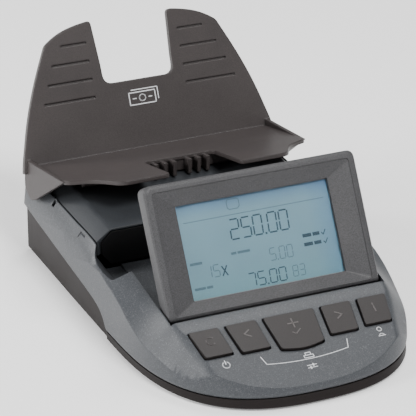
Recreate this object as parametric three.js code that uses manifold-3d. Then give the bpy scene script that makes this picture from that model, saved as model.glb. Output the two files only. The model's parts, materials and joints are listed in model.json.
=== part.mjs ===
// Money scale: a desk machine that counts banknotes by weight.
// Millimetres, +X to the user's right, +Y to the rear, +Z up. The origin is on the table, under the
// middle of the machine's outline. The user stands on the -Y side.
import * as THREE from 'three';
import { mergeVertices } from 'three/addons/utils/BufferGeometryUtils.js';
import Module from 'manifold-3d';

const wasm = await Module();
wasm.setup();

// ---------------------------------------------------------------- driving dimensions
const GAP = 0.35;                 // air between two touching pieces
const HALF_WIDTH = 61.6;          // body half width at the bottom edge
const REAR_Y = 83.5;              // rear face of the top shell
const HOUSING_REAR_Y = 81;        // rear face of the lower housing
const NOSE_START_Y = -18.7;       // where the plan outline begins to curve in
const NOSE_LENGTH = 85.4;         // from there to the front tip
const NOSE_POWER_Y = 3.1;         // superellipse powers of the nose in plan
const NOSE_POWER_X = 2.5;
const SHELL_BOTTOM_Z = 5.2;
const LEAN_BASE_Z = 2.7;          // height from which the body leans in
const WALL = 2.2;                 // wall of the mouldings

const DECK_SLOPE = 0.473;         // the key deck rises to the rear
const DECK_REF = { y: -29, z: 43 };
const DECK_REAR_Y = -61.5;
const DECK_ANGLE = Math.atan(DECK_SLOPE);

const WELL_HALF_WIDTH = 49.5;     // the well that the display folds into
const WELL_REAR_Y = 4.4;
const WELL_FLOOR_FRONT_Z = 16.6;
const WELL_FLOOR_REAR_Z = 22.8;

const PAN_HALF_WIDTH = 55.5;      // weighing platform
const PAN_Y = [5, 61.5];
const PAN_RIDGE_X = 49;
const PAN_TOP_Z = [41, 43];       // front and rear height of the ridge

const DISPLAY_CORNER = { y: -58.3, z: 26.7 };   // front bottom edge of the bezel
const DISPLAY_LEAN = THREE.MathUtils.degToRad(29.3);
const DISPLAY_SIZE = { width: 97.8, low: -1.5, high: 56.1, depth: 9.2 };
const LCD_WINDOW = { halfWidth: 35.3, low: 5.5, high: 46 };
const HINGE = { up: -1, back: 7.9, radius: 1.25, reach: [41, 51.6] }; // hinge axis, from the bezel's low edge

const PLATE_REF = { y: 91, z: 74.3 };            // a point of the back plate's front face
const PLATE_LEAN = THREE.MathUtils.degToRad(24.6);
const PLATE_THICKNESS = 3;
const FLOOR_REAR = { y: 78, z: 42.6 };           // where the note floor meets the back plate
const FLOOR_ANGLE = THREE.MathUtils.degToRad(13.3);
const FLOOR_THICKNESS = 1.8;

const KEY_PROUD = 1.2;            // key tops above the deck
const KEY_GAP = 0.5;

// ---------------------------------------------------------------- solids
function solidOf(geometry) {
  const bare = geometry.index ? geometry.toNonIndexed() : geometry.clone();
  bare.deleteAttribute('normal');
  bare.deleteAttribute('uv');
  const merged = mergeVertices(bare, 1e-4);
  return new wasm.Manifold(new wasm.Mesh({
    numProp: 3,
    vertProperties: new Float32Array(merged.attributes.position.array),
    triVerts: new Uint32Array(merged.index.array),
  }));
}

function geometryOf(solid) {
  const mesh = solid.getMesh();
  const geometry = new THREE.BufferGeometry();
  geometry.setAttribute('position', new THREE.BufferAttribute(mesh.vertProperties, mesh.numProp));
  geometry.setIndex(new THREE.BufferAttribute(mesh.triVerts, 1));
  const flat = geometry.toNonIndexed();
  flat.computeVertexNormals();
  return flat;
}

const isSolid = (item) => item instanceof wasm.Manifold;
const asSolid = (item) => (isSolid(item) ? item : solidOf(item));

function cut(base, ...tools) {
  return tools.reduce((result, tool) => result.subtract(asSolid(tool)), asSolid(base));
}

function join(...items) {
  return items.slice(1).reduce((result, item) => result.add(asSolid(item)), asSolid(items[0]));
}

function common(first, second) {
  return asSolid(first).intersect(asSolid(second));
}

function place(geometry, matrix) {
  return geometry.clone().applyMatrix4(matrix);
}

// A box given by its limits.
function slab([x0, x1], [y0, y1], [z0, z1]) {
  const box = new THREE.BoxGeometry(x1 - x0, y1 - y0, z1 - z0);
  return box.translate((x0 + x1) / 2, (y0 + y1) / 2, (z0 + z1) / 2);
}

// A shape in X and Y, extruded upwards.
function extrudeUp(shape, z0, z1, curveSegments = 6) {
  const solid = new THREE.ExtrudeGeometry(shape, { depth: z1 - z0, bevelEnabled: false, curveSegments });
  return solid.translate(0, 0, z0);
}

// A shape drawn in Y and Z, extruded along +X.
function extrudeAcross(shape, x0, x1, curveSegments = 6) {
  const solid = new THREE.ExtrudeGeometry(shape, { depth: x1 - x0, bevelEnabled: false, curveSegments });
  const axes = new THREE.Matrix4().makeBasis(
    new THREE.Vector3(0, 1, 0), new THREE.Vector3(0, 0, 1), new THREE.Vector3(1, 0, 0));
  return solid.applyMatrix4(axes).translate(x0, 0, 0);
}

// A shape drawn in X and Z, extruded from y1 forward to y0.
function extrudeForward(shape, y0, y1, curveSegments = 6) {
  const solid = new THREE.ExtrudeGeometry(shape, { depth: y1 - y0, bevelEnabled: false, curveSegments });
  const axes = new THREE.Matrix4().makeBasis(
    new THREE.Vector3(1, 0, 0), new THREE.Vector3(0, 0, 1), new THREE.Vector3(0, -1, 0));
  return solid.applyMatrix4(axes).translate(0, y1, 0);
}

function polygon(points) {
  return new THREE.Shape(points.map(([u, v]) => new THREE.Vector2(u, v)));
}

// A polygon whose corners are rounded by the radius in each point's third value.
function roundedPolygon(points, defaultRadius = 0) {
  const shape = new THREE.Shape();
  const count = points.length;
  points.forEach(([u, v, radius = defaultRadius], index) => {
    const corner = new THREE.Vector2(u, v);
    const before = new THREE.Vector2(...points[(index + count - 1) % count]);
    const after = new THREE.Vector2(...points[(index + 1) % count]);
    const toBefore = before.clone().sub(corner);
    const toAfter = after.clone().sub(corner);
    const reach = Math.min(radius, toBefore.length() * 0.49, toAfter.length() * 0.49);
    const start = corner.clone().add(toBefore.setLength(reach || 1e-6));
    const end = corner.clone().add(toAfter.setLength(reach || 1e-6));
    if (index === 0) shape.moveTo(start.x, start.y);
    else shape.lineTo(start.x, start.y);
    if (reach > 0) shape.quadraticCurveTo(corner.x, corner.y, end.x, end.y);
  });
  shape.closePath();
  return shape;
}

function roundedRectangle(halfWidth, low, high, radius) {
  return roundedPolygon([[-halfWidth, low], [halfWidth, low], [halfWidth, high], [-halfWidth, high]], radius);
}

// A cylinder with its axis along X, Y or Z.
function rod(axis, radius, length, x, y, z, segments = 20) {
  const cylinder = new THREE.CylinderGeometry(radius, radius, length, segments);
  if (axis === 'x') cylinder.rotateZ(Math.PI / 2);
  if (axis === 'z') cylinder.rotateX(Math.PI / 2);
  return cylinder.translate(x, y, z);
}

// A closed body through rings of equally many points; flat ends close it.
function loft(rings) {
  const count = rings[0].length;
  const positions = rings.flat().flatMap((point) => [point.x, point.y, point.z]);
  const triangles = [];
  for (let ring = 0; ring + 1 < rings.length; ring += 1) {
    for (let index = 0; index < count; index += 1) {
      const next = (index + 1) % count;
      const low = ring * count;
      const high = low + count;
      triangles.push(low + index, low + next, high + next);
      triangles.push(low + index, high + next, high + index);
    }
  }
  const lastRing = (rings.length - 1) * count;
  const horizontal = Math.abs(rings[0][0].z - rings[0][1].z) + Math.abs(rings[0][1].z - rings[0][2].z) < 1e-9;
  const flatten = (ring) => ring.map((point) => new THREE.Vector2(point.x, horizontal ? point.y : point.z));
  const firstCap = THREE.ShapeUtils.triangulateShape(flatten(rings[0]), []);
  const lastCap = THREE.ShapeUtils.triangulateShape(flatten(rings[rings.length - 1]), []);
  firstCap.forEach(([a, b, c]) => triangles.push(a, c, b));
  lastCap.forEach(([a, b, c]) => triangles.push(lastRing + a, lastRing + b, lastRing + c));
  const geometry = new THREE.BufferGeometry();
  geometry.setAttribute('position', new THREE.BufferAttribute(new Float32Array(positions), 3));
  geometry.setIndex(triangles);
  return geometry;
}

// Smooth values between the rows of a table whose first column is the place.
function smoothTable(table, place) {
  const last = table.length - 1;
  const upper = Math.min(last, Math.max(1, table.findIndex((row) => row[0] >= place)));
  const slope = (row, column) => {
    const before = table[Math.max(0, row - 1)];
    const after = table[Math.min(last, row + 1)];
    return (after[column] - before[column]) / (after[0] - before[0]);
  };
  const [low, high] = [table[upper - 1], table[upper]];
  const span = high[0] - low[0];
  const part = Math.min(1, Math.max(0, (place - low[0]) / span));
  return low.map((start, column) => {
    const t2 = part * part;
    const t3 = t2 * part;
    return start * (2 * t3 - 3 * t2 + 1) + high[column] * (3 * t2 - 2 * t3)
      + span * (slope(upper - 1, column) * (t3 - 2 * t2 + part) + slope(upper, column) * (t3 - t2));
  });
}

// ---------------------------------------------------------------- the body's outline in plan
const REAR_CORNER_RADIUS = 2;
const REAR_TAPER = 0.5;           // how much narrower the body is at its rear
const NOSE_STEPS = 30;

function noseShare(y) {
  return Math.max(0, (NOSE_START_Y - y) / NOSE_LENGTH);
}

// Right half of the outline, from the front tip to the middle of the rear face.
function halfOutline(rearY, cornerRadius) {
  const points = [];
  for (let step = 0; step <= NOSE_STEPS; step += 1) {
    const angle = (Math.PI / 2) * (step / NOSE_STEPS);
    const x = HALF_WIDTH * Math.sin(angle) ** (2 / NOSE_POWER_X);
    const y = NOSE_START_Y - NOSE_LENGTH * Math.cos(angle) ** (2 / NOSE_POWER_Y);
    points.push([x, y]);
  }
  const rearHalf = HALF_WIDTH - REAR_TAPER;
  const cornerX = rearHalf - cornerRadius;
  const cornerY = rearY - cornerRadius;
  points.push([HALF_WIDTH - REAR_TAPER * 0.2, 25]);
  for (let step = 0; step <= 4; step += 1) {
    const angle = (Math.PI / 2) * (step / 4);
    points.push([cornerX + cornerRadius * Math.cos(angle), cornerY + cornerRadius * Math.sin(angle)]);
  }
  return points;
}

// Whole outline moved inwards by an inset, anticlockwise seen from above.
function outline(inset, rearY = REAR_Y) {
  const right = halfOutline(rearY, Math.max(REAR_CORNER_RADIUS, inset + 0.3));
  const left = right.slice(1).reverse().map(([x, y]) => [-x, y]);
  const all = [...right, ...left].map(([x, y]) => new THREE.Vector2(x, y));
  const count = all.length;
  return all.map((point, index) => {
    const before = all[(index + count - 1) % count];
    const after = all[(index + 1) % count];
    const edgeIn = point.clone().sub(before).normalize();
    const edgeOut = after.clone().sub(point).normalize();
    const normal = new THREE.Vector2(edgeIn.y + edgeOut.y, -edgeIn.x - edgeOut.x).normalize();
    const stretch = 1 / Math.max(0.6, normal.dot(new THREE.Vector2(edgeOut.y, -edgeOut.x)));
    return point.clone().addScaledVector(normal, -inset * stretch);
  });
}

// The skirt leans in as it rises: a little at the sides, much more round the nose.
function skirtRing(z, inset) {
  const height = z - LEAN_BASE_Z;
  return outline(inset).map((point) => {
    const lean = noseShare(point.y) ** NOSE_POWER_Y;
    const sideLean = 0.0003 * height + 0.0014 * Math.max(0, height - 19);
    return new THREE.Vector3(point.x * (1 - sideLean), point.y + 0.4 * height * lean, z);
  });
}

function skirt(inset, roundBottom) {
  const levels = roundBottom
    ? [[SHELL_BOTTOM_Z, inset + 0.9], [SHELL_BOTTOM_Z + 0.7, inset + 0.3], [SHELL_BOTTOM_Z + 1.9, inset]]
    : [[LEAN_BASE_Z - 5, inset]];
  levels.push([12, inset], [21.7, inset], [34, inset], [46, inset]);
  return loft(levels.map(([z, ringInset]) => skirtRing(z, ringInset)));
}

const deckZ = (y) => DECK_REF.z + DECK_SLOPE * (y - DECK_REF.y);

// Top of the body, as sections across it: y, half width of the flat middle, its height, and how steeply
// the rail falls outwards from there.
const TOP_SECTIONS = [
  [-112, 41.6, deckZ(-112), 0.6],
  [-96, 41.6, deckZ(-96), 0.9],
  [-91.5, 41.6, deckZ(-91.5), 1.2],
  [-84, 43.4, deckZ(-84), 1.4],
  [-75, 45.8, deckZ(-75), 1.3],
  [-66, 48.3, deckZ(-66), 1.35],
  [-58, WELL_HALF_WIDTH, 27.2, 1.25],
  [-45, WELL_HALF_WIDTH, 28.9, 0.8],
  [-32, WELL_HALF_WIDTH, 30.8, 0.52],
  [-19, WELL_HALF_WIDTH, 32.6, 0.46],
  [-8, 52.6, 34.4, 0.66],
  [WELL_REAR_Y, 56, 36.2, 1.65],
  [30, 56, 37, 1.8],
  [58, 56, 37.6, 1.95],
  [90, 56, 37.8, 2],
];
const RAIL_STOPS = [2, 5, 8, 12, 18, 28]; // distances out from the crease, one point of a section each
const SECTION_STEP = 3;
const CREASE_ROUND = 1.5;         // how far inwards the crease beside the flat is rounded

function topBlock(lower) {
  const first = TOP_SECTIONS[0][0];
  const last = TOP_SECTIONS[TOP_SECTIONS.length - 1][0];
  const count = Math.round((last - first) / SECTION_STEP);
  const rings = [];
  for (let step = 0; step <= count; step += 1) {
    const place = first + ((last - first) * step) / count;
    const [y, flatX, flatZ, fall] = smoothTable(TOP_SECTIONS, place);
    const z = flatZ - lower;
    const half = [[flatX - CREASE_ROUND, z], [flatX, z - 0.25 * fall * CREASE_ROUND],
      ...RAIL_STOPS.map((out) => [flatX + out, z - fall * out]),
      [flatX + RAIL_STOPS[RAIL_STOPS.length - 1], -60]];
    const left = half.slice().reverse().map(([x, height]) => [-x, height]);
    rings.push([...left, ...half].map(([x, height]) => new THREE.Vector3(x, y, height)).reverse());
  }
  return loft(rings.reverse());
}

// The swooping line between the top shell and the lower housing, on both sides.
const SWOOP_START_Y = -19;
const swoopZ = (y) => SHELL_BOTTOM_Z + 8 * (1 - Math.exp(-(y - SWOOP_START_Y) / 4.5))
  + 0.095 * (y - SWOOP_START_Y);

function underSwoop(lower) {
  const stops = [0, 1.2, 2.6, 4.4, 6.8, 10, 15, 23, 45, 75, 110].map((step) => SWOOP_START_Y + step);
  const curve = stops.map((y) => [y, swoopZ(y) - lower]);
  return polygon([[SWOOP_START_Y, -5], ...[[110 + SWOOP_START_Y, -5]], ...curve.reverse()]);
}

// ---------------------------------------------------------------- the key deck's own frame
// Local X across, local Y up the slope, local Z out of the deck; its origin is on the deck's middle line.
const DECK_ORIGIN_Y = -77;
const deckFrame = new THREE.Matrix4()
  .makeTranslation(0, DECK_ORIGIN_Y, deckZ(DECK_ORIGIN_Y))
  .multiply(new THREE.Matrix4().makeRotationX(DECK_ANGLE));

// Key caps seen square on: x and distance up the slope, named after their marks.
const keyRise = (y) => (y - DECK_ORIGIN_Y) / Math.cos(DECK_ANGLE);
const KEY_OUTLINES = {
  key_clear: [[-45.2, -69], [-42.6, -81.4], [-30.4, -81.4], [-32.2, -69]],
  key_back: [[-28.6, -69], [-26.5, -82.3], [-13.9, -82.3], [-15.1, -69]],
  key_enter: [[-11.5, -69], [-9.7, -84.3], [0, -86.1], [9.7, -84.3], [11.5, -69]],
  key_forward: [[15.1, -69], [13.9, -82.3], [26.5, -82.3], [28.6, -69]],
  key_info: [[32.2, -69], [30.4, -81.4], [42.6, -81.4], [45.2, -69]],
};

function keyShape(name, grow) {
  const points = KEY_OUTLINES[name].map(([x, y]) => [x, keyRise(y)]);
  const middleX = points.reduce((sum, point) => sum + point[0], 0) / points.length;
  const middleY = points.reduce((sum, point) => sum + point[1], 0) / points.length;
  const spread = points.map(([x, y]) => [
    x + grow * Math.sign(x - middleX), y + grow * Math.sign(y - middleY),
    name === 'key_enter' && x === 0 ? 9 : 1.1]);
  return roundedPolygon(spread.reverse());
}

// ---------------------------------------------------------------- casings
// The room below the deck and between the rails that the display folds into, grown by a wall.
function wellRoom(grow) {
  const shape = polygon([
    [DECK_REAR_Y - grow, 60], [DECK_REAR_Y - grow, WELL_FLOOR_FRONT_Z - grow],
    [WELL_REAR_Y + grow, WELL_FLOOR_REAR_Z - grow], [WELL_REAR_Y + grow, 60]]);
  return extrudeAcross(shape, -WELL_HALF_WIDTH - grow, WELL_HALF_WIDTH + grow);
}

// The scooped finger notch in a side rail: its mouth in plan, drawn in to the well floor below.
const NOTCH_MOUTH = [
  [44, 8], [56, 8], [56, 4.4], [57.9, 1.6, 3], [59.2, -4, 4], [59.4, -13, 3], [58.9, -18.4, 1.5],
  [49, -20.2], [44, -20.2]];
const NOTCH_FOOT_X = 50.4;
const NOTCH_TOP_Z = 29.4;

function notchCutter(side, grow) {
  const ring = (share, z) => roundedPolygon(NOTCH_MOUTH.map(([x, y, radius = 0.3]) => {
    const drawn = x > NOTCH_FOOT_X ? NOTCH_FOOT_X + (x - NOTCH_FOOT_X) * share : x;
    return [side * (drawn + (x > 45 ? grow : 0)), y - (y < -10 ? grow : 0), radius];
  })).getPoints(3).slice(0, -1).map((point) => new THREE.Vector3(point.x, point.y, z));
  const rings = [ring(0.12, WELL_FLOOR_REAR_Z - 1.2), ring(1, NOTCH_TOP_Z), ring(1, 60)];
  return loft(side > 0 ? rings.map((item) => item.reverse()) : rings);
}

function makeTopShell() {
  const outer = common(skirt(0, true), topBlock(0));
  const inner = common(skirt(WALL, false), topBlock(WALL + 0.3));
  const sides = [-1, 1];
  const room = cut(inner, wellRoom(WALL), ...sides.map((side) => notchCutter(side, 1.6)));
  const opened = cut(outer, room, wellRoom(0), ...sides.map((side) => notchCutter(side, 0)));
  const panWell = slab([-56.1, 56.1], [WELL_REAR_Y, REAR_Y - WALL], [WELL_FLOOR_REAR_Z, 60]);
  const belowPan = cut(
    common(skirt(WALL, false), slab([-70, 70], [WELL_REAR_Y + WALL, REAR_Y - WALL], [-10, 29])), panWell);
  const keyHoles = Object.keys(KEY_OUTLINES).map((name) => (
    place(extrudeUp(keyShape(name, KEY_GAP), -8, 8), deckFrame)));
  const axis = hingeAxis();
  const pinHoles = sides.map((side) => rod('x', HINGE.radius + 0.3, 4, side * 50.5, axis.y, axis.z));
  const railHoles = sides.flatMap((side) => {
    const across = (x0, x1) => [Math.min(side * x0, side * x1), Math.max(side * x0, side * x1)];
    return [
      slab(across(56.2, 57.9), [50.6, 53], [33, 40]),
      slab(across(56.9, 57.5), [14.6, 20], [34.2, 40]),
      slab(across(57.3, 58.9), [19.4, 20.1], [32.4, 40])];
  });
  const housingRoom = extrudeAcross(underSwoop(0), -70, 70);
  return cut(opened, panWell, belowPan, housingRoom, ...keyHoles, ...pinHoles, ...railHoles);
}

const HOUSING_INSET = 1.3;        // how far the lower housing stands in from the shell's sides

function housingRing(z, inset) {
  const flat = outline(inset, HOUSING_REAR_Y + HOUSING_INSET);
  return flat.map((point) => new THREE.Vector3(point.x, point.y, z));
}

const BATTERY_BAY = { halfWidth: 31, y: [10, 66], top: 19 };
const FEET = [[-44, -52], [44, -52], [-48, 68], [48, 68]];
const FOOT_RADIUS = 5.5;
const SCREW_PLACES = [[-50, -22], [50, -22], [-40, 74], [40, 74]];
const JACK = { x: 28, z: 11 };
const PORT = { x: -28, z: 11 };

function makeLowerHousing() {
  const bottomZ = 1;
  const tray = loft([housingRing(bottomZ, HOUSING_INSET + 0.6), housingRing(bottomZ + 0.8, HOUSING_INSET),
    housingRing(26, HOUSING_INSET)]);
  const hollow = loft([housingRing(3, HOUSING_INSET + WALL), housingRing(40, HOUSING_INSET + WALL)]);
  const below = extrudeAcross(underSwoop(0.4), -70, 70);
  const rearTray = common(cut(tray, hollow), below);
  const plateTop = SHELL_BOTTOM_Z - GAP;
  const nosePlate = cut(
    loft([skirtRing(bottomZ, 1.2), skirtRing(bottomZ + 0.6, 0.6), skirtRing(plateTop, 0.6)]),
    loft([skirtRing(3.2, 3.4), skirtRing(plateTop + 1, 3.4)]));
  const frontHalf = slab([-70, 70], [-120, SWOOP_START_Y + 0.4], [-5, 60]);
  const lip = cut(
    loft([skirtRing(2, WALL + 0.5), skirtRing(6.6, WALL + 0.5)]),
    loft([skirtRing(1.5, WALL + 1.7), skirtRing(12, WALL + 1.7)]));
  const front = join(common(nosePlate, frontHalf), common(lip, frontHalf));
  const bay = BATTERY_BAY;
  const bayWalls = cut(
    slab([-bay.halfWidth - 1.6, bay.halfWidth + 1.6], [bay.y[0] - 1.6, bay.y[1] + 1.6], [2, bay.top]),
    slab([-bay.halfWidth, bay.halfWidth], bay.y, [-5, bay.top - 1.6]));
  const bosses = SCREW_PLACES.map(([x, y]) => rod('z', 3.6, 6, x, y, 5, 16));
  const base = join(rearTray, front, bayWalls, ...bosses);
  const bayMouth = slab([-bay.halfWidth, bay.halfWidth], bay.y, [-5, 5]);
  const feetSeats = FEET.map(([x, y]) => rod('z', FOOT_RADIUS + GAP, 1.6, x, y, 1, 24));
  const screwHoles = SCREW_PLACES.map(([x, y]) => join(
    rod('z', 1.7, 20, x, y, 5, 14), rod('z', 3, 2.4, x, y, 1.8, 16)));
  const jackHole = rod('y', 4.6, 8, JACK.x, HOUSING_REAR_Y - 2, JACK.z, 20);
  const portHole = slab(
    [PORT.x - 6.4, PORT.x + 6.4], [HOUSING_REAR_Y - 6, HOUSING_REAR_Y + 2], [PORT.z - 4.6, PORT.z + 4.6]);
  return cut(base, bayMouth, ...feetSeats, ...screwHoles, jackHole, portHole);
}

// ---------------------------------------------------------------- weighing platform
function panRing(y, top, grow) {
  const edge = PAN_HALF_WIDTH - grow * 1.3;
  const half = [[edge, 29.5 - grow * 4], [edge, 36.2 - grow], [PAN_RIDGE_X + 0.9, top - 0.7 - grow],
    [PAN_RIDGE_X, top - 0.15 - grow], [PAN_RIDGE_X - 1.1, top - grow]];
  const left = half.slice().reverse().map(([x, z]) => [-x, z]);
  return [...half, ...left].map(([x, z]) => new THREE.Vector3(x, y, z));
}

function makeWeighPan() {
  const [frontTop, rearTop] = PAN_TOP_Z;
  const [front, rear] = PAN_Y;
  const outer = loft([panRing(rear, rearTop, 0), panRing(front, frontTop, 0)]);
  const inner = loft([panRing(rear - 2, rearTop, 1.9), panRing(front + 1, frontTop, 1.9)]);
  const mouth = loft([panRing(front + 1.1, frontTop, 0.8), panRing(front - 1, frontTop, 0.8)]);
  return cut(outer, inner, mouth);
}

function makePanCarrier() {
  const [frontTop] = PAN_TOP_Z;
  const front = PAN_Y[0] + 0.2;
  const face = polygon([[-49, 24.2], [49, 24.2], [53.4, 29.6], [53.4, 35], [48.6, frontTop - 1.5],
    [-48.6, frontTop - 1.5], [-53.4, 35], [-53.4, 29.6]]);
  const backing = polygon([[-48, 24.2], [48, 24.2], [52.4, 29.4], [52.4, 33.2], [46, 37.4],
    [-46, 37.4], [-52.4, 33.2], [-52.4, 29.4]]);
  const apron = join(
    extrudeForward(face, front, front + 0.6),
    extrudeForward(backing, front + 0.5, front + 2));
  const frame = slab([-47, 47], [front + 1.8, PAN_Y[1] - 2.5], [33.5, 36]);
  const windows = [-1, 1].flatMap((side) => [
    slab([side * 29 - 14, side * 29 + 14], [14, 36], [30, 40]),
    slab([side * 29 - 14, side * 29 + 14], [44, 55], [30, 40]),
  ]);
  return join(cut(frame, ...windows), apron);
}

const LOAD_CELL = { halfWidth: 7.5, y: [9, 58], z: [22.6, 30] };

function makeLoadCell() {
  const cell = LOAD_CELL;
  const middle = (cell.y[0] + cell.y[1]) / 2;
  const height = (cell.z[0] + cell.z[1]) / 2;
  const holes = [-6, 6].map((offset) => rod('x', 2.6, 30, 0, middle + offset, height, 18));
  const slot = slab([-20, 20], [middle - 6, middle + 6], [height - 0.8, height + 0.8]);
  return cut(slab([-cell.halfWidth, cell.halfWidth], cell.y, cell.z), ...holes, slot);
}

// ---------------------------------------------------------------- note hopper
const plateFrame = new THREE.Matrix4()
  .makeTranslation(0, PLATE_REF.y, PLATE_REF.z)
  .multiply(new THREE.Matrix4().makeRotationX(Math.PI / 2 - PLATE_LEAN));
const floorFrame = new THREE.Matrix4()
  .makeTranslation(0, FLOOR_REAR.y, FLOOR_REAR.z)
  .multiply(new THREE.Matrix4().makeRotationX(-FLOOR_ANGLE));

// Half of the back plate seen square on: x and height along the plate from its reference point.
const PLATE_HALF = [
  [62.3, -37.6, 1], [61.2, -32, 12], [56.1, -13.7, 10], [50.1, 1.8, 12],
  [42.2, 18.2, 1.6], [37, 21.6, 6], [31.9, 23.8, 6],
  [25.6, 25.4, 6], [19, 26.4, 2.2], [17.6, 6, 0], [17.3, -3.4, 4.2],
];

const GROOVE_START_X = 22.5;

function makeNoteHopper() {
  const left = PLATE_HALF.slice().reverse().map(([x, s, radius]) => [-x, s, radius]);
  const plate = extrudeUp(roundedPolygon([...PLATE_HALF, ...left]), -PLATE_THICKNESS, 0, 5);
  const middleOf = (end) => (end + GROOVE_START_X) / 2;
  const halfOf = (end) => (end - GROOVE_START_X) / 2;
  const grooveEnds = [[16.6, 35], [8.25, 40.8], [-0.2, 44.1], [-8.5, 47.2]];
  const grooves = grooveEnds.flatMap(([s, end]) => [-1, 1].map((side) => (
    slab([side * middleOf(end) - halfOf(end), side * middleOf(end) + halfOf(end)],
      [s - 0.45, s + 0.45], [-0.6, 1]))));
  const backPlate = solidOf(plate);
  const grooved = cut(backPlate, ...grooves);
  const standing = grooved.transform(plateFrame.elements);

  const floorHalf = [[59.6, 1, 0], [58.8, -22, 0], [57.9, -45, 2.5], [47, -51, 9], [39.5, -66, 4],
    [17, -66, 2.5], [17, -34, 4]];
  const floorLeft = floorHalf.slice().reverse().map(([x, t, radius]) => [-x, t, radius]);
  const floor = extrudeUp(roundedPolygon([...floorHalf, ...floorLeft].reverse()), -FLOOR_THICKNESS, 0, 5);
  const lobes = [-1, 1].map((side) => makeLobe(side));
  const floorUnder = (y) => FLOOR_REAR.z + Math.tan(FLOOR_ANGLE) * (FLOOR_REAR.y - y) - FLOOR_THICKNESS * 0.9;
  const wallY = 45;
  const wall = slab([-46, 46], [wallY, wallY + 2.4], [43.3, floorUnder(wallY + 2.4) + 0.4]);
  const ribXs = [-12.5, -8.1, -3.7, 3.7, 8.1, 12.5];
  const ribs = ribXs.map((x) => extrudeAcross(polygon([
    [wallY - 5, 43.3], [wallY + 0.5, 43.3], [wallY + 0.5, floorUnder(wallY) + 0.4],
    [wallY - 5, floorUnder(wallY - 5) + 0.4]]), x - 0.8, x + 0.8));
  const onFloor = place(floor, floorFrame);
  const below = [wall, ...ribs].reduce((result, item) => result.add(solidOf(item)), solidOf(onFloor));
  return join(standing, below, ...lobes);
}

// The ear that hangs from the hopper's side and hugs the body's rail.
const LOBE_LEAN = 0.18;           // how far it leans in for each millimetre up
const LOBE_OUTER = { x: 62.5, z: 31 };
const LOBE_THICKNESS = 1.8;

function makeLobe(side) {
  const shape = roundedPolygon([[35.2, 52.1, 1.5], [63.4, 32.4, 3], [67.5, 30.7, 3], [76.2, 33.6, 4],
    [78.3, 38.6, 2], [82.6, 48.4, 0], [80.6, 49.6, 0], [78, 45.4, 1]].reverse());
  const lobe = extrudeAcross(shape, -LOBE_THICKNESS, 0, 5);
  const shear = new THREE.Matrix4().set(
    side, 0, -side * LOBE_LEAN, side * (LOBE_OUTER.x + LOBE_LEAN * LOBE_OUTER.z),
    0, 1, 0, 0,
    0, 0, 1, 0,
    0, 0, 0, 1);
  const moved = place(lobe, shear);
  return side > 0 ? solidOf(moved) : solidOf(flipFaces(moved));
}

function flipFaces(geometry) {
  const flat = geometry.index ? geometry.toNonIndexed() : geometry.clone();
  const array = flat.attributes.position.array;
  for (let start = 0; start < array.length; start += 9) {
    for (let axis = 0; axis < 3; axis += 1) {
      const keep = array[start + 3 + axis];
      array[start + 3 + axis] = array[start + 6 + axis];
      array[start + 6 + axis] = keep;
    }
  }
  return flat;
}

// ---------------------------------------------------------------- display
// Local X across, local Y up the display, local Z out of its face; origin at its front bottom edge.
const displayFrame = new THREE.Matrix4()
  .makeTranslation(0, DISPLAY_CORNER.y, DISPLAY_CORNER.z)
  .multiply(new THREE.Matrix4().makeRotationX(Math.PI / 2 - DISPLAY_LEAN));

function hingeAxis() {
  return new THREE.Vector3(0, HINGE.up, -HINGE.back).applyMatrix4(displayFrame);
}

const BEZEL_DEPTH = 5.4;          // front frame, as deep as the parting line
const BUSH_X = 44.9;              // middle of each hinge bush
const BUSH_LENGTH = 7.6;
const half = DISPLAY_SIZE.width / 2;

function makeDisplayBezel() {
  const rim = [[0, -BEZEL_DEPTH], [0, -1.6], [0.2, -0.9], [0.7, -0.3], [1.6, 0]];
  const outer = loft(rim.map(([inset, z]) => rectangleRing(inset, z, 3.4 - inset * 0.5)));
  const window = LCD_WINDOW;
  const slope = loft([
    windowRing(window.halfWidth, window.low, window.high, -4.2, 0.4),
    windowRing(window.halfWidth, window.low, window.high, -2.9, 0.4),
    windowRing(half - 3.4, 0.4, DISPLAY_SIZE.high - 3.4, -0.5, 1.5),
    windowRing(half - 3, 0.1, DISPLAY_SIZE.high - 3, 1, 1.5)]);
  const pocket = slab([-43, 43], [3.4, 51], [-9, -3.6]);
  return cut(outer, slope, pocket).transform(displayFrame.elements);
}

function rectangleRing(inset, z, radius) {
  const side = half - inset;
  const low = DISPLAY_SIZE.low + inset;
  const high = DISPLAY_SIZE.high - inset;
  const shape = roundedPolygon([[-side, low, 1.6 - inset * 0.3], [side, low, 1.6 - inset * 0.3],
    [side, high, radius], [-side, high, radius]]);
  return shape.getPoints(4).slice(0, -1).map((point) => new THREE.Vector3(point.x, point.y, z));
}

function windowRing(halfWidth, low, high, z, radius) {
  const shape = roundedRectangle(halfWidth, low, high, radius);
  return shape.getPoints(2).slice(0, -1).map((point) => new THREE.Vector3(point.x, point.y, z));
}

function makeDisplayBackCover() {
  const depth = DISPLAY_SIZE.depth;
  const rim = [[1.5, -depth], [0.6, -depth + 0.35], [0.15, -depth + 1.2], [0.15, -BEZEL_DEPTH - 0.3]];
  const outer = loft(rim.map(([inset, z]) => rectangleRing(inset, z, 3.3 - inset * 0.5)));
  const room = slab([-44, 44], [4, 51.4], [-depth + 1.6, 0]);
  const knuckles = [-1, 1].map((side) => join(
    rod('x', 2.6, 8, side * BUSH_X, HINGE.up, -HINGE.back, 24),
    slab([side * BUSH_X - 4, side * BUSH_X + 4], [-1.5, 2.5], [-depth + 0.4, -BEZEL_DEPTH - 0.3])));
  const bores = [-1, 1].map((side) => rod('x', 1.95, 20, side * BUSH_X, HINGE.up, -HINGE.back, 20));
  const bezelRoom = slab([-60, 60], [-5, 5], [-BEZEL_DEPTH - 0.3, 5]);
  return cut(join(outer, ...knuckles), bezelRoom, room, ...bores).transform(displayFrame.elements);
}

// ---------------------------------------------------------------- assembly
const machine = new THREE.Group();
machine.name = 'money_scale';

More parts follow.
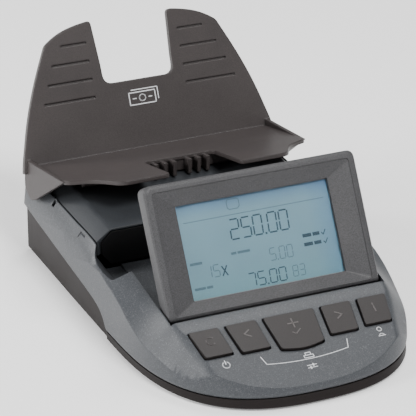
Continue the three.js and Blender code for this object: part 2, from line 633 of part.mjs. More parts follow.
const FINISHES = {
  shell: { color: 0x5b5e62, roughness: 0.55, metalness: 0 },
  brown: { color: 0x453f3d, roughness: 0.6, metalness: 0 },
  pan: { color: 0x55585c, roughness: 0.55, metalness: 0 },
  black: { color: 0x1b1b1c, roughness: 0.6, metalness: 0 },
  bezel: { color: 0x66666a, roughness: 0.6, metalness: 0 },
  lcd: { color: 0x8fb3bf, roughness: 0.3, metalness: 0 },
  lens: { color: 0xdfe8ea, roughness: 0.05, metalness: 0 },
  board: { color: 0x1f5a3a, roughness: 0.5, metalness: 0 },
  steel: { color: 0xb8babd, roughness: 0.35, metalness: 1 },
  aluminium: { color: 0xc4c6c9, roughness: 0.4, metalness: 1 },
  rubber: { color: 0x222222, roughness: 0.9, metalness: 0 },
  battery: { color: 0x2c5f8a, roughness: 0.5, metalness: 0 },
};

function add(name, shape, finish, matrix = null) {
  const geometry = isSolid(shape) ? geometryOf(shape) : shape;
  const mesh = new THREE.Mesh(geometry, new THREE.MeshStandardMaterial(FINISHES[finish]));
  mesh.name = name;
  if (matrix) mesh.applyMatrix4(matrix);
  machine.add(mesh);
}

add('top_shell', makeTopShell(), 'shell');
add('lower_housing', makeLowerHousing(), 'brown');
add('weigh_pan', makeWeighPan(), 'pan');
add('pan_carrier', makePanCarrier(), 'black');
add('note_hopper', makeNoteHopper(), 'brown');

// Keys, their rubber mat and its board.
Object.keys(KEY_OUTLINES).forEach((name) => {
  add(name, extrudeUp(keyShape(name, 0), -2.6, KEY_PROUD), 'brown', deckFrame);
});
const MAT = { x: 45, y: [keyRise(-84.5), keyRise(-67.6)] };
const domes = Object.keys(KEY_OUTLINES).map((name) => {
  const points = KEY_OUTLINES[name];
  const x = points.reduce((sum, point) => sum + point[0], 0) / points.length;
  return rod('z', 3.6, 1.6, x, keyRise(-75.5), -4.5, 16);
});
add('key_mat', join(slab([-MAT.x, MAT.x], MAT.y, [-6, -5]), ...domes), 'rubber', deckFrame);
add('key_board', slab([-MAT.x, MAT.x], MAT.y, [-7.9, -6.3]), 'board', deckFrame);

// Display and its hinge.
add('display_bezel', makeDisplayBezel(), 'bezel');
add('display_back_cover', makeDisplayBackCover(), 'bezel');
add('lcd_lens', slab([-39, 39], [4.2, 48.8], [-4.9, -3.95]), 'lens', displayFrame);
add('lcd_panel', slab([-38, 38], [4.6, 48.4], [-6.4, -5.2]), 'lcd', displayFrame);
add('display_board', slab([-36, 36], [6, 46], [-7.1, -6.7]), 'board', displayFrame);
const [pinInner, pinOuter] = HINGE.reach;
[['left', -1], ['right', 1]].forEach(([side, sign]) => {
  const pinMiddle = (sign * (pinInner + pinOuter)) / 2;
  const pin = rod('x', HINGE.radius, pinOuter - pinInner, pinMiddle, HINGE.up, -HINGE.back, 20);
  const sleeve = rod('x', 1.9, BUSH_LENGTH, sign * BUSH_X, HINGE.up, -HINGE.back, 20);
  const bore = rod('x', HINGE.radius + 0.08, 20, sign * BUSH_X, HINGE.up, -HINGE.back, 20);
  add(`hinge_pin_${side}`, pin, 'steel', displayFrame);
  add(`hinge_bush_${side}`, cut(sleeve, bore), 'black', displayFrame);
});

// Weighing gear under the platform.
add('load_cell', makeLoadCell(), 'aluminium');
add('load_cell_base_block', slab([-7.5, 7.5], [9, 22], [19.3, 22.3]), 'aluminium');
add('load_cell_top_block', slab([-7.5, 7.5], [45, 58], [30.9, 33.2]), 'aluminium');
[['left', -1], ['right', 1]].forEach(([side, sign]) => {
  add(`overload_stop_${side}`, rod('z', 2, 8.4, sign * 44, 40, 28.7, 14), 'steel');
});

// Boards, buzzer, supply and connectors.
add('main_board', slab([-42, 42], [-78, -24], [5, 6.6]), 'board');
add('buzzer', rod('z', 6, 4, -28, -40, 9, 20), 'black');
const pack = roundedRectangle(29.5, BATTERY_BAY.y[0] + 4, BATTERY_BAY.y[1] - 1.5, 3);
add('battery_pack', extrudeUp(pack, 4.1, 17), 'battery');
add('battery_door', slab([-BATTERY_BAY.halfWidth + 0.4, BATTERY_BAY.halfWidth - 0.4],
  [BATTERY_BAY.y[0] + 0.4, BATTERY_BAY.y[1] - 0.4], [1, 2.6]), 'brown');
const jackBody = join(rod('y', 4.2, 6, JACK.x, HOUSING_REAR_Y - 4.6, JACK.z, 20),
  slab([JACK.x - 4.5, JACK.x + 4.5], [HOUSING_REAR_Y - 13, HOUSING_REAR_Y - 6], [JACK.z - 5, JACK.z + 5]));
add('power_jack', cut(jackBody, rod('y', 3.2, 12, JACK.x, HOUSING_REAR_Y - 4.6, JACK.z, 20)), 'black');
const portDepth = [HOUSING_REAR_Y - 13, HOUSING_REAR_Y - 2];
const portBody = slab([PORT.x - 6, PORT.x + 6], portDepth, [PORT.z - 4.2, PORT.z + 4.2]);
const portMouth = [HOUSING_REAR_Y - 11, HOUSING_REAR_Y + 2];
const portRoom = slab([PORT.x - 4.6, PORT.x + 4.6], portMouth, [PORT.z - 2.8, PORT.z + 2.8]);
add('data_port', cut(portBody, portRoom), 'black');

// Feet and housing screws.
FEET.forEach(([x, y], index) => {
  add(`foot_${index + 1}`, rod('z', FOOT_RADIUS, 1.5, x, y, 0.75, 24), 'rubber');
});
SCREW_PLACES.forEach(([x, y], index) => {
  const screw = join(rod('z', 2.7, 1.4, x, y, 1.9, 16), rod('z', 1.35, 9, x, y, 6, 12));
  add(`housing_screw_${index + 1}`, screw, 'steel');
});

export default machine;
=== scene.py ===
import json
import math

import bpy
from mathutils import Matrix, Vector


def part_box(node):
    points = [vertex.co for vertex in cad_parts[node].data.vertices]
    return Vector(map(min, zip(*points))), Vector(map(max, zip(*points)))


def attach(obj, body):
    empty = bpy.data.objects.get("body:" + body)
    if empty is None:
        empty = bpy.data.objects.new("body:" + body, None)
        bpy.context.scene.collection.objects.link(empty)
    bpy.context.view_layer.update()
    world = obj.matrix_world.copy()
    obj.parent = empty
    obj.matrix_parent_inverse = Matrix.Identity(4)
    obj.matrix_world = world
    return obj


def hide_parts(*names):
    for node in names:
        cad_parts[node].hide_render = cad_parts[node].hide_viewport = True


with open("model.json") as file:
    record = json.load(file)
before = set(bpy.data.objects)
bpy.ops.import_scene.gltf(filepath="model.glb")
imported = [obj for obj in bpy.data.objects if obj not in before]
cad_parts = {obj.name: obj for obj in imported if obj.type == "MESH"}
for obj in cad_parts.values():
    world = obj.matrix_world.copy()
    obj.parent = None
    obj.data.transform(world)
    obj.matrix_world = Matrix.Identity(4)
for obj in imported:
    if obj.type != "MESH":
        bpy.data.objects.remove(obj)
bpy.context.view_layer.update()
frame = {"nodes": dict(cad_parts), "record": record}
nodes = frame["nodes"]
MM = 0.001


# ---------------------------------------------------------------- camera, floor and light
CAMERA_TARGET = Vector((8.4, 31.0, 29.0)) * MM
CAMERA_AZIMUTH = math.radians(24.0)
CAMERA_ELEVATION = math.radians(25.0)
CAMERA_DISTANCE = 1.202
CAMERA_LENS = 232.1
CAMERA_SENSOR = 36.0
LIGHT_TARGET = Vector((0, 0, 0.03))
# Each light's name, its place in metres, its power in watts, and its width and height in metres.
LIGHTS = [
    ("key_light", (0.15, -0.95, 1.35), 27, (0.5, 0.45)),
    ("left_light", (-1.2, 0.05, 0.64), 12, (0.4, 0.5)),
    ("top_light", (0.5, 0.45, 1.4), 10, (0.5, 0.5)),
    ("rear_light", (-1.1, 1.0, 0.58), 13, (0.5, 0.5)),
]
SKY_STRENGTH = 0.3
FLOOR_HALF_SIZE = 3.0
FLOOR_WHITENESS = 0.92
FLOOR_ROUGHNESS = 0.95
FLOOR_GLOW = 0.25


def add_camera():
    flat = math.cos(CAMERA_ELEVATION)
    forward = Vector((math.sin(CAMERA_AZIMUTH) * flat,
                      math.cos(CAMERA_AZIMUTH) * flat,
                      -math.sin(CAMERA_ELEVATION)))
    data = bpy.data.cameras.new("camera")
    data.lens = CAMERA_LENS
    data.sensor_width = CAMERA_SENSOR
    camera = bpy.data.objects.new("camera", data)
    camera.location = CAMERA_TARGET - forward * CAMERA_DISTANCE
    camera.rotation_euler = forward.to_track_quat("-Z", "Y").to_euler()
    bpy.context.scene.collection.objects.link(camera)
    bpy.context.scene.camera = camera


def add_area_light(name, place, power, size):
    data = bpy.data.lights.new(name, "AREA")
    data.energy = power
    data.shape = "RECTANGLE"
    data.size, data.size_y = size
    light = bpy.data.objects.new(name, data)
    light.location = place
    aim = LIGHT_TARGET - Vector(place)
    light.rotation_euler = aim.to_track_quat("-Z", "Y").to_euler()
    bpy.context.scene.collection.objects.link(light)


def add_sky():
    world = bpy.data.worlds.new("studio")
    world.use_nodes = True
    background = world.node_tree.nodes["Background"]
    background.inputs["Color"].default_value = (1, 1, 1, 1)
    background.inputs["Strength"].default_value = SKY_STRENGTH
    bpy.context.scene.world = world


def add_floor():
    size = FLOOR_HALF_SIZE
    corners = [(-size, -size, 0), (size, -size, 0), (size, size, 0), (-size, size, 0)]
    mesh = bpy.data.meshes.new("floor")
    mesh.from_pydata(corners, [], [(0, 1, 2, 3)])
    floor = bpy.data.objects.new("floor", mesh)
    bpy.context.scene.collection.objects.link(floor)
    material, _, shader = new_material("floor_paper")
    shader.inputs["Base Color"].default_value = (FLOOR_WHITENESS, FLOOR_WHITENESS, FLOOR_WHITENESS, 1)
    shader.inputs["Roughness"].default_value = FLOOR_ROUGHNESS
    shader.inputs["Emission Color"].default_value = (1, 1, 1, 1)
    shader.inputs["Emission Strength"].default_value = FLOOR_GLOW
    floor.data.materials.append(material)


# ---------------------------------------------------------------- node helpers
def new_material(name):
    material = bpy.data.materials.new(name)
    material.use_nodes = True
    tree = material.node_tree
    return material, tree, tree.nodes["Principled BSDF"]


def object_place(tree):
    return tree.nodes.new("ShaderNodeTexCoord").outputs["Object"]


def add_noise(tree, vector, scale, detail=3.0):
    noise = tree.nodes.new("ShaderNodeTexNoise")
    noise.inputs["Scale"].default_value = scale
    noise.inputs["Detail"].default_value = detail
    noise.inputs["Roughness"].default_value = 0.55
    tree.links.new(vector, noise.inputs["Vector"])
    return noise.outputs["Fac"]


def add_ramp(tree, factor, stops):
    ramp = tree.nodes.new("ShaderNodeValToRGB")
    elements = ramp.color_ramp.elements
    while len(elements) < len(stops):
        elements.new(0.5)
    for element, (position, colour) in zip(elements, stops):
        element.position = position
        element.color = (*colour, 1)
    tree.links.new(factor, ramp.inputs["Fac"])
    return ramp.outputs["Color"]


def add_range(tree, value, target, source=(0, 1)):
    node = tree.nodes.new("ShaderNodeMapRange")
    node.inputs["From Min"].default_value = source[0]
    node.inputs["From Max"].default_value = source[1]
    node.inputs["To Min"].default_value = target[0]
    node.inputs["To Max"].default_value = target[1]
    tree.links.new(value, node.inputs["Value"])
    return node.outputs["Result"]


def add_tint(tree, base, factor, blend="MULTIPLY"):
    mix = tree.nodes.new("ShaderNodeMix")
    mix.data_type = "RGBA"
    mix.blend_type = blend
    mix.inputs["Factor"].default_value = 1.0
    tree.links.new(base, mix.inputs["A"])
    tree.links.new(factor, mix.inputs["B"])
    return mix.outputs["Result"]


# Bump of the given depth in millimetres, over edges that look rounded to edge_radius millimetres.
def add_relief(tree, shader, height, strength, depth, edge_radius):
    relief = tree.nodes.new("ShaderNodeBump")
    relief.inputs["Strength"].default_value = strength
    relief.inputs["Distance"].default_value = depth * MM
    tree.links.new(height, relief.inputs["Height"])
    if edge_radius > 0:
        edge = tree.nodes.new("ShaderNodeBevel")
        edge.samples = 6
        edge.inputs["Radius"].default_value = edge_radius * MM
        tree.links.new(edge.outputs["Normal"], relief.inputs["Normal"])
    tree.links.new(relief.outputs["Normal"], shader.inputs["Normal"])


def grey(level):
    return (level, level, level)


WHITE = grey(1.0)
PATCH_SCALE = 45
FLAKE_SIZE = 0.35
# How far the painted corner shade reaches, in millimetres.
CORNER_SHADE_REACH = 3
GRAIN_DEPTH = 0.05
SHEEN_SPREAD = 0.07
PLASTIC_SPECULAR = 0.27


# Moulded plastic: a fine spark-eroded grain, a patchy sheen, pale flakes if asked for, painted shade in
# corners.
def moulded(name, colour, speck=0.25, grain=0.28, roughness=0.45, bump=0.3, bevel=0.35, flakes=0.0,
            specular=PLASTIC_SPECULAR):
    material, tree, shader = new_material(name)
    place = object_place(tree)
    fine = add_noise(tree, place, 1 / (grain * MM), 2)
    broad = add_noise(tree, place, PATCH_SCALE, 4)
    low = [value * (1 - speck) for value in colour]
    high = [value * (1 + speck) for value in colour]
    paint = add_ramp(tree, fine, [(0.36, low), (0.5, colour), (0.64, high)])
    patch = add_ramp(tree, broad, [(0.3, (0.86, 0.86, 0.87)), (0.7, WHITE)])
    paint = add_tint(tree, paint, patch)
    if flakes > 0:
        cells = tree.nodes.new("ShaderNodeTexVoronoi")
        cells.inputs["Scale"].default_value = 1 / (FLAKE_SIZE * MM)
        tree.links.new(place, cells.inputs["Vector"])
        flake = (flakes, flakes, flakes * 1.03)
        glint = add_ramp(tree, cells.outputs["Color"], [(0.72, grey(0)), (0.95, flake)])
        paint = add_tint(tree, paint, glint, "ADD")
    # Painted shade: ambient occlusion darkens the colour in corners, creases and gaps between parts.
    shade = tree.nodes.new("ShaderNodeAmbientOcclusion")
    shade.samples = 6
    shade.inputs["Distance"].default_value = CORNER_SHADE_REACH * MM
    corner_shade = add_ramp(tree, shade.outputs["AO"], [(0.25, grey(0.75)), (0.8, WHITE)])
    tree.links.new(add_tint(tree, paint, corner_shade), shader.inputs["Base Color"])
    shader.inputs["Specular IOR Level"].default_value = specular
    sheen = add_range(tree, broad, (roughness - SHEEN_SPREAD, roughness + SHEEN_SPREAD))
    tree.links.new(sheen, shader.inputs["Roughness"])
    add_relief(tree, shader, fine, bump, GRAIN_DEPTH, bevel)
    return material


# Plated or machined metal, with fine lines drawn out by the stretch along each axis.
def lined_metal(name, colour, roughness, stretch):
    material, tree, shader = new_material(name)
    place = object_place(tree)
    mapping = tree.nodes.new("ShaderNodeMapping")
    mapping.inputs["Scale"].default_value = stretch
    tree.links.new(place, mapping.inputs["Vector"])
    lines = add_noise(tree, mapping.outputs["Vector"], 900, 4)
    stain = add_noise(tree, place, 160, 4)
    dark = [value * 0.72 for value in colour]
    paint = add_ramp(tree, lines, [(0.35, dark), (0.65, colour)])
    patch = add_ramp(tree, stain, [(0.35, (0.78, 0.77, 0.75)), (0.65, WHITE)])
    tree.links.new(add_tint(tree, paint, patch), shader.inputs["Base Color"])
    tree.links.new(add_range(tree, stain, (roughness - 0.08, roughness + 0.12)), shader.inputs["Roughness"])
    shader.inputs["Metallic"].default_value = 1.0
    add_relief(tree, shader, lines, 0.25, 0.03, 0.12)
    return material


# Circuit board: solder mask with copper runs showing through.
def solder_mask(name):
    material, tree, shader = new_material(name)
    place = object_place(tree)
    runs = tree.nodes.new("ShaderNodeTexBrick")
    runs.inputs["Scale"].default_value = 190
    runs.inputs["Color1"].default_value = (0.012, 0.105, 0.04, 1)
    runs.inputs["Color2"].default_value = (0.01, 0.085, 0.033, 1)
    runs.inputs["Mortar"].default_value = (0.03, 0.17, 0.06, 1)
    runs.inputs["Mortar Size"].default_value = 0.06
    tree.links.new(place, runs.inputs["Vector"])
    stain = add_noise(tree, place, 120, 4)
    patch = add_ramp(tree, stain, [(0.3, grey(0.8)), (0.7, WHITE)])
    tree.links.new(add_tint(tree, runs.outputs["Color"], patch), shader.inputs["Base Color"])
    tree.links.new(add_range(tree, stain, (0.3, 0.45)), shader.inputs["Roughness"])
    add_relief(tree, shader, runs.outputs["Fac"], 0.3, 0.05, 0.1)
    return material


PANEL_BOTTOM, PANEL_TOP = (limit[2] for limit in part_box("lcd_panel")[:2])
BLUER_FROM_X = 0.024
BLUER_TO_X = 0.036


# The liquid crystal panel: pale blue, bluer towards its top and right edges, with a fine cell pattern.
def crystal_panel(name):
    material, tree, shader = new_material(name)
    place = object_place(tree)
    split = tree.nodes.new("ShaderNodeSeparateXYZ")
    tree.links.new(place, split.inputs["Vector"])
    rise = add_range(tree, split.outputs["Z"], (0, 1), (PANEL_BOTTOM, PANEL_TOP))
    ground = add_ramp(tree, rise, [
        (0.0, (0.215, 0.44, 0.50)), (0.3, (0.235, 0.42, 0.50)),
        (0.8, (0.26, 0.45, 0.54)), (1.0, (0.12, 0.27, 0.48))])
    side = add_range(tree, split.outputs["X"], (0, 1), (BLUER_FROM_X, BLUER_TO_X))
    edge = add_ramp(tree, side, [(0.0, WHITE), (1.0, (0.72, 0.84, 1.0))])
    paint = add_tint(tree, ground, edge)
    cloud = add_noise(tree, place, 60, 4)
    patch = add_ramp(tree, cloud, [(0.3, (0.93, 0.93, 0.94)), (0.7, WHITE)])
    tree.links.new(add_tint(tree, paint, patch), shader.inputs["Base Color"])
    tree.links.new(add_range(tree, cloud, (0.3, 0.42)), shader.inputs["Roughness"])
    add_relief(tree, shader, add_noise(tree, place, 9000, 1), 0.05, 0.01, 0)
    return material


# Printing ink, a little worn in fine specks.
def ink(name, colour, roughness=0.5):
    material, tree, shader = new_material(name)
    noise = add_noise(tree, object_place(tree), 2600, 3)
    faded = [value * 0.88 for value in colour]
    tree.links.new(add_ramp(tree, noise, [(0.4, faded), (0.6, colour)]), shader.inputs["Base Color"])
    tree.links.new(add_range(tree, noise, (roughness - 0.05, roughness + 0.05)), shader.inputs["Roughness"])
    return material


# Clear acrylic, with faint smears in its polish.
def clear_window(name):
    material, tree, shader = new_material(name)
    smear = add_noise(tree, object_place(tree), 70, 4)
    shader.inputs["Base Color"].default_value = (0.97, 0.99, 1.0, 1)
    shader.inputs["Transmission Weight"].default_value = 1.0
    shader.inputs["IOR"].default_value = 1.49
    shader.inputs["Specular IOR Level"].default_value = 0.35
    tree.links.new(add_range(tree, smear, (0.02, 0.07)), shader.inputs["Roughness"])
    return material


SHELL_GREY = (0.058, 0.062, 0.068)
PAN_GREY = (0.034, 0.037, 0.041)
BEZEL_GREY = (0.06, 0.0595, 0.062)
HOUSING_BROWN = (0.0175, 0.0145, 0.014)
HOPPER_BROWN = (0.046, 0.039, 0.038)
KEY_BROWN = (0.026, 0.0225, 0.022)
SLOT_LOOKS = {
    "shell": moulded("shell_plastic", SHELL_GREY, speck=0.28, roughness=0.4, flakes=0.05, bevel=0.7),
    "pan": moulded("pan_plastic", PAN_GREY, speck=0.22, roughness=0.4, bevel=0.5),
    "bezel": moulded("bezel_plastic", BEZEL_GREY, speck=0.3, grain=0.34, roughness=0.46, bump=0.6),
    "brown": moulded("brown_plastic", HOUSING_BROWN, speck=0.2, roughness=0.48, bevel=0.4, specular=0.1),
    "key": moulded("key_plastic", KEY_BROWN, speck=0.18, roughness=0.42, bevel=0.3),
    "black": moulded("black_plastic", (0.004, 0.004, 0.0044), speck=0.2, roughness=0.55),
    "lcd": crystal_panel("liquid_crystal"),
    "board": solder_mask("board_mask"),
    "steel": lined_metal("plated_steel", (0.62, 0.62, 0.63), 0.3, (1, 1, 6)),
    "aluminium": lined_metal("machined_aluminium", (0.72, 0.73, 0.74), 0.34, (1, 8, 1)),
    "rubber": moulded("foot_rubber", grey(0.012), speck=0.25, roughness=0.82, bump=0.5),
    "battery": moulded("battery_wrap", (0.02, 0.07, 0.17), speck=0.1, roughness=0.35, bump=0.15),
    "lens": clear_window("lens_clear"),
}
HOPPER_LOOK = moulded("hopper_plastic", HOPPER_BROWN, speck=0.2, roughness=0.44, bevel=0.9)
WHITE_INK = ink("white_ink", (0.72, 0.73, 0.75))
GREY_INK = ink("grey_ink", (0.36, 0.36, 0.37))
SEGMENT_INK = ink("segment_ink", (0.018, 0.075, 0.11), roughness=0.4)
FAINT_INK = ink("faint_ink", (0.10, 0.20, 0.25), roughness=0.4)
KEY_MARK_INK = moulded("key_mark", (0.1, 0.09, 0.088), speck=0.2, roughness=0.35, bevel=0.1)


# ---------------------------------------------------------------- smooth shading and looks for the nodes
SMOOTH_LIMIT = math.radians(30)
WELD_DISTANCE = 0.004 * MM


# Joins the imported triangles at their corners, then shades smoothly across edges flatter than the limit.
def smoothing_group():
    tree = bpy.data.node_groups.new("smooth_by_angle", "GeometryNodeTree")
    tree.interface.new_socket("Geometry", in_out="INPUT", socket_type="NodeSocketGeometry")
    tree.interface.new_socket("Geometry", in_out="OUTPUT", socket_type="NodeSocketGeometry")
    start = tree.nodes.new("NodeGroupInput")
    end = tree.nodes.new("NodeGroupOutput")
    bare = tree.nodes.new("GeometryNodeRemoveAttribute")
    bare.inputs["Name"].default_value = "custom_normal"
    weld = tree.nodes.new("GeometryNodeMergeByDistance")
    weld.inputs["Distance"].default_value = WELD_DISTANCE
    faces = tree.nodes.new("GeometryNodeSetShadeSmooth")
    angle = tree.nodes.new("GeometryNodeInputMeshEdgeAngle")
    flat_enough = tree.nodes.new("FunctionNodeCompare")
    flat_enough.operation = "LESS_THAN"
    flat_enough.inputs["B"].default_value = SMOOTH_LIMIT
    edges = tree.nodes.new("GeometryNodeSetShadeSmooth")
    edges.domain = "EDGE"
    for before, after in ((start, bare), (bare, weld), (weld, faces), (faces, edges), (edges, end)):
        tree.links.new(before.outputs["Geometry"], after.inputs["Geometry"])
    tree.links.new(angle.outputs["Unsigned Angle"], flat_enough.inputs["A"])
    tree.links.new(flat_enough.outputs["Result"], edges.inputs["Shade Smooth"])
    return tree


def dress_nodes():
    slots = {row["node"]: row["material_slot"] for row in frame["record"]["subparts"]}
    smoothing = smoothing_group()
    for name, obj in nodes.items():
        obj.data.materials.clear()
        look = HOPPER_LOOK if name == "note_hopper" else SLOT_LOOKS[slots[name]]
        obj.data.materials.append(look)
        rounding = obj.modifiers.new("smooth_shading", "NODES")
        rounding.node_group = smoothing
        weighting = obj.modifiers.new("even_shading", "WEIGHTED_NORMAL")
        weighting.keep_sharp = True


# ---------------------------------------------------------------- working planes, in millimetres
# On a plane, u runs to the right, v runs up the slope, and height is measured square to it.
def plane(origin, slope):
    return Matrix.Translation(Vector(origin) * MM) @ Matrix.Rotation(slope, 4, "X") @ Matrix.Scale(MM, 4)


DISPLAY_LEAN = math.radians(29.3)
DISPLAY_PLANE = plane((0, -58.3, 26.7), math.pi / 2 - DISPLAY_LEAN)
PLATE_LEAN = math.radians(24.6)
PLATE_PLANE = plane((0, 91, 74.3), math.pi / 2 - PLATE_LEAN)
REAR_WAY = -math.pi / 2
DECK_RISE = 0.473
DECK_ANGLE = math.atan(DECK_RISE)
DECK_LINE_Y = -29
DECK_LINE_Z = 43
DECK_MIDDLE_Y = -77
DECK_MIDDLE_Z = DECK_LINE_Z + DECK_RISE * (DECK_MIDDLE_Y - DECK_LINE_Y)
DECK_PLANE = plane((0, DECK_MIDDLE_Y, DECK_MIDDLE_Z), DECK_ANGLE)


# How far up the deck's plane a place at the given y lies.
def deck_up(y):
    return (y - DECK_MIDDLE_Y) / math.cos(DECK_ANGLE)


# ---------------------------------------------------------------- flat shapes and the pieces made from them
def add_piece(name, vertices, faces, matrix, material, body):
    mesh = bpy.data.meshes.new(name)
    mesh.from_pydata(vertices, [], faces)
    mesh.transform(matrix)
    mesh.materials.append(material)
    obj = bpy.data.objects.new(name, mesh)
    bpy.context.scene.collection.objects.link(obj)
    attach(obj, body)
    return obj


# Closed flat shapes, each a list of (u, v) points, become one mesh of thin plates between two heights.
def add_plates(name, shapes, heights, matrix, material, body):
    low, high = heights
    vertices = []
    faces = []
    for shape in shapes:
        start = len(vertices)
        count = len(shape)
        vertices += [(u, v, low) for u, v in shape] + [(u, v, high) for u, v in shape]
        faces.append([start + index for index in reversed(range(count))])
        faces.append([start + count + index for index in range(count)])
        for index in range(count):
            after = (index + 1) % count
            faces.append([start + index, start + after, start + count + after, start + count + index])
    return add_piece(name, vertices, faces, matrix, material, body)


def box(left, low, right, high):
    return [(left, low), (right, low), (right, high), (left, high)]


# A stroke of even width along a line, as one quadrilateral per stretch.
def stroke(points, width):
    shapes = []
    half = width / 2
    for (u0, v0), (u1, v1) in zip(points, points[1:]):
        length = math.hypot(u1 - u0, v1 - v0)
        du = (u1 - u0) / length * half
        dv = (v1 - v0) / length * half
        shapes.append([(u0 - du + dv, v0 - dv - du), (u1 + du + dv, v1 + dv - du),
                       (u1 + du - dv, v1 + dv + du), (u0 - du - dv, v0 - dv + du)])
    return shapes


def border(left, low, right, high, width):
    corners = box(left, low, right, high)
    return stroke(corners + corners[:1], width)


def arc(u, v, radius, start, end, steps=16):
    angles = [math.radians(start + (end - start) * step / steps) for step in range(steps + 1)]
    return [(u + radius * math.cos(angle), v + radius * math.sin(angle)) for angle in angles]


# ---------------------------------------------------------------- the display's picture
SEGMENTS_LIT = {
    "0": "abcdef", "1": "bc", "2": "abged", "3": "abgcd", "5": "afgcd", "7": "abc", "8": "abcdefg",
}
LEVEL_BARS = "agd"
DIGIT_SLANT = 0.04
BAR_WIDTH = 0.16
BAR_END_GAP = 0.05
# Each number's text, right end, base line, digit width, digit height and pitch.
TOTAL = ("250.00", 14.4, 27.9, 4.0, 8.4, 5.35)
AMOUNT = ("75.00", 8.8, 6.9, 3.2, 5.6, 4.35)
NOTE_COUNT = ("15", -20.7, 13.9, 2.6, 5.0, 3.7)
NOTE_VALUE = ("5.00", 13.7, 16.1, 2.5, 5.2, 3.55)
SIDE_COUNT = ("83", 17.6, 7.6, 2.3, 4.6, 3.2)
PANEL_LEVEL = -5.19
PICTURE_HEIGHTS = (PANEL_LEVEL, PANEL_LEVEL + 0.04)
EDGE_LINE_HEIGHTS = (PANEL_LEVEL, PANEL_LEVEL + 0.1)


# One seven-segment digit with its lower left corner at (u, v); each level bar is drawn as two dashes.
def digit(character, u, v, width, height):
    middle = height / 2
    gap = width * 0.12
    bars = {
        "a": ((gap, height), (width - gap, height)),
        "b": ((width, middle + gap), (width, height - gap)),
        "c": ((width, gap), (width, middle - gap)),
        "d": ((gap, 0), (width - gap, 0)),
        "e": ((0, gap), (0, middle - gap)),
        "f": ((0, middle + gap), (0, height - gap)),
        "g": ((gap, middle), (width - gap, middle)),
    }
    shapes = []
    for bar in SEGMENTS_LIT[character]:
        (x0, y0), (x1, y1) = bars[bar]
        dashes = 2 if bar in LEVEL_BARS else 1
        for dash in range(dashes):
            low = dash / dashes + BAR_END_GAP
            high = (dash + 1) / dashes - BAR_END_GAP
            ends = [(u + x0 + (x1 - x0) * part + DIGIT_SLANT * (y0 + (y1 - y0) * part),
                     v + y0 + (y1 - y0) * part) for part in (low, high)]
            shapes += stroke(ends, width * BAR_WIDTH)
    return shapes


# A number is set from its right end, and its decimal point takes a narrow space of its own.
def number(text, right, v, width, height, pitch):
    shapes = []
    dot = width * 0.11
    u = right
    for character in reversed(text):
        if character == ".":
            u -= width * 0.35
            middle = u + (pitch - width) / 2 + width * 0.17
            shapes.append(box(middle - dot, v - dot, middle + dot, v + dot))
            continue
        u -= pitch
        shapes += digit(character, u + pitch - width, v, width, height)
    return shapes


def tick(u, v, size):
    return stroke([(u, v + size * 0.45), (u + size * 0.35, v), (u + size, v + size)], size * 0.24)


# A row of short bars of differing length, in place of a printed label.
def small_label(u, v, lengths, height):
    shapes = []
    for length in lengths:
        shapes.append(box(u, v, u + length, v + height))
        u += length + height * 0.45
    return shapes


# A small banknote seen flat, with its corners cut.
def note_outline(u, v, width, height):
    return stroke([(u + 0.8, v), (u + width - 1, v), (u + width, v + 1), (u + width, v + height - 0.6),
                   (u + width - 0.8, v + height), (u + 0.6, v + height), (u, v + height - 0.8), (u, v + 0.8),
                   (u + 0.8, v)], 0.34)


def add_display_picture():
    strong = number(*TOTAL)
    strong += stroke([(-19.4, 13.9), (-17.2, 17.6)], 0.6) + stroke([(-17.3, 13.9), (-19.3, 17.6)], 0.6)
    strong += number(*AMOUNT)
    strong += tick(28.6, 22.9, 1.8) + tick(28.9, 19.1, 1.8)
    strong += small_label(19.6, 23.0, (4.1, 3.2), 1.5) + small_label(19.6, 19.2, (4.1, 3.3), 1.5)
    add_plates("lcd_marks_strong", strong, PICTURE_HEIGHTS, DISPLAY_PLANE, SEGMENT_INK, "display")
    faint = number(*NOTE_COUNT) + number(*NOTE_VALUE) + number(*SIDE_COUNT)
    faint += stroke([(-32.4, 38.3), (32.4, 38.3)], 0.28)
    faint += note_outline(-11.6, 40.6, 5.6, 4.2)
    faint += small_label(-33.2, 20.2, (5.6,), 1.1)
    faint += small_label(-14.0, 21.6, (2.4, 5.8), 1.1)
    faint += small_label(-33.2, 9.6, (5.0, 2.8), 1.1)
    add_plates("lcd_marks_faint", faint, PICTURE_HEIGHTS, DISPLAY_PLANE, FAINT_INK, "display")
    edge_line = border(-35.6, 5.6, 35.6, 46.0, 0.3)
    add_plates("lcd_edge_line", edge_line, EDGE_LINE_HEIGHTS, DISPLAY_PLANE, GREY_INK, "display")


# ---------------------------------------------------------------- the clear window
WINDOW_HALF_WIDTH = 38.4
WINDOW_LOW = 5.0
WINDOW_HIGH = 48.0
WINDOW_CORNER = 0.5
WINDOW_HEIGHTS = (-4.85, -4.0)


def add_window():
    side = WINDOW_HALF_WIDTH - WINDOW_CORNER
    low = WINDOW_LOW + WINDOW_CORNER
    high = WINDOW_HIGH - WINDOW_CORNER
    shape = []
    for u, v, start in ((side, low, 270), (side, high, 0), (-side, high, 90), (-side, low, 180)):
        shape += arc(u, v, WINDOW_CORNER, start, start + 90, 3)
    window = add_plates("display_window", [shape], WINDOW_HEIGHTS, DISPLAY_PLANE, SLOT_LOOKS["lens"],
                        "display")
    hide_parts("lcd_lens")


# ---------------------------------------------------------------- the keys' raised marks
KEY_TOP = 1.2
KEY_MARK_HEIGHTS = (KEY_TOP - 0.02, KEY_TOP + 0.12)
KEY_ROW = deck_up(-74.5)
OUTER_KEY = 37.6
INNER_KEY = 21
FINE_MARK = 0.55
BOLD_MARK = 0.6
SMALL_MARK = 0.45


# An arrow head that points right for a way of 1 and left for a way of -1.
def arrow_head(u, way):
    back = u - 1.1 * way
    return stroke([(back, KEY_ROW + 1.7), (u + 1.5 * way, KEY_ROW), (back, KEY_ROW - 1.7)], FINE_MARK)


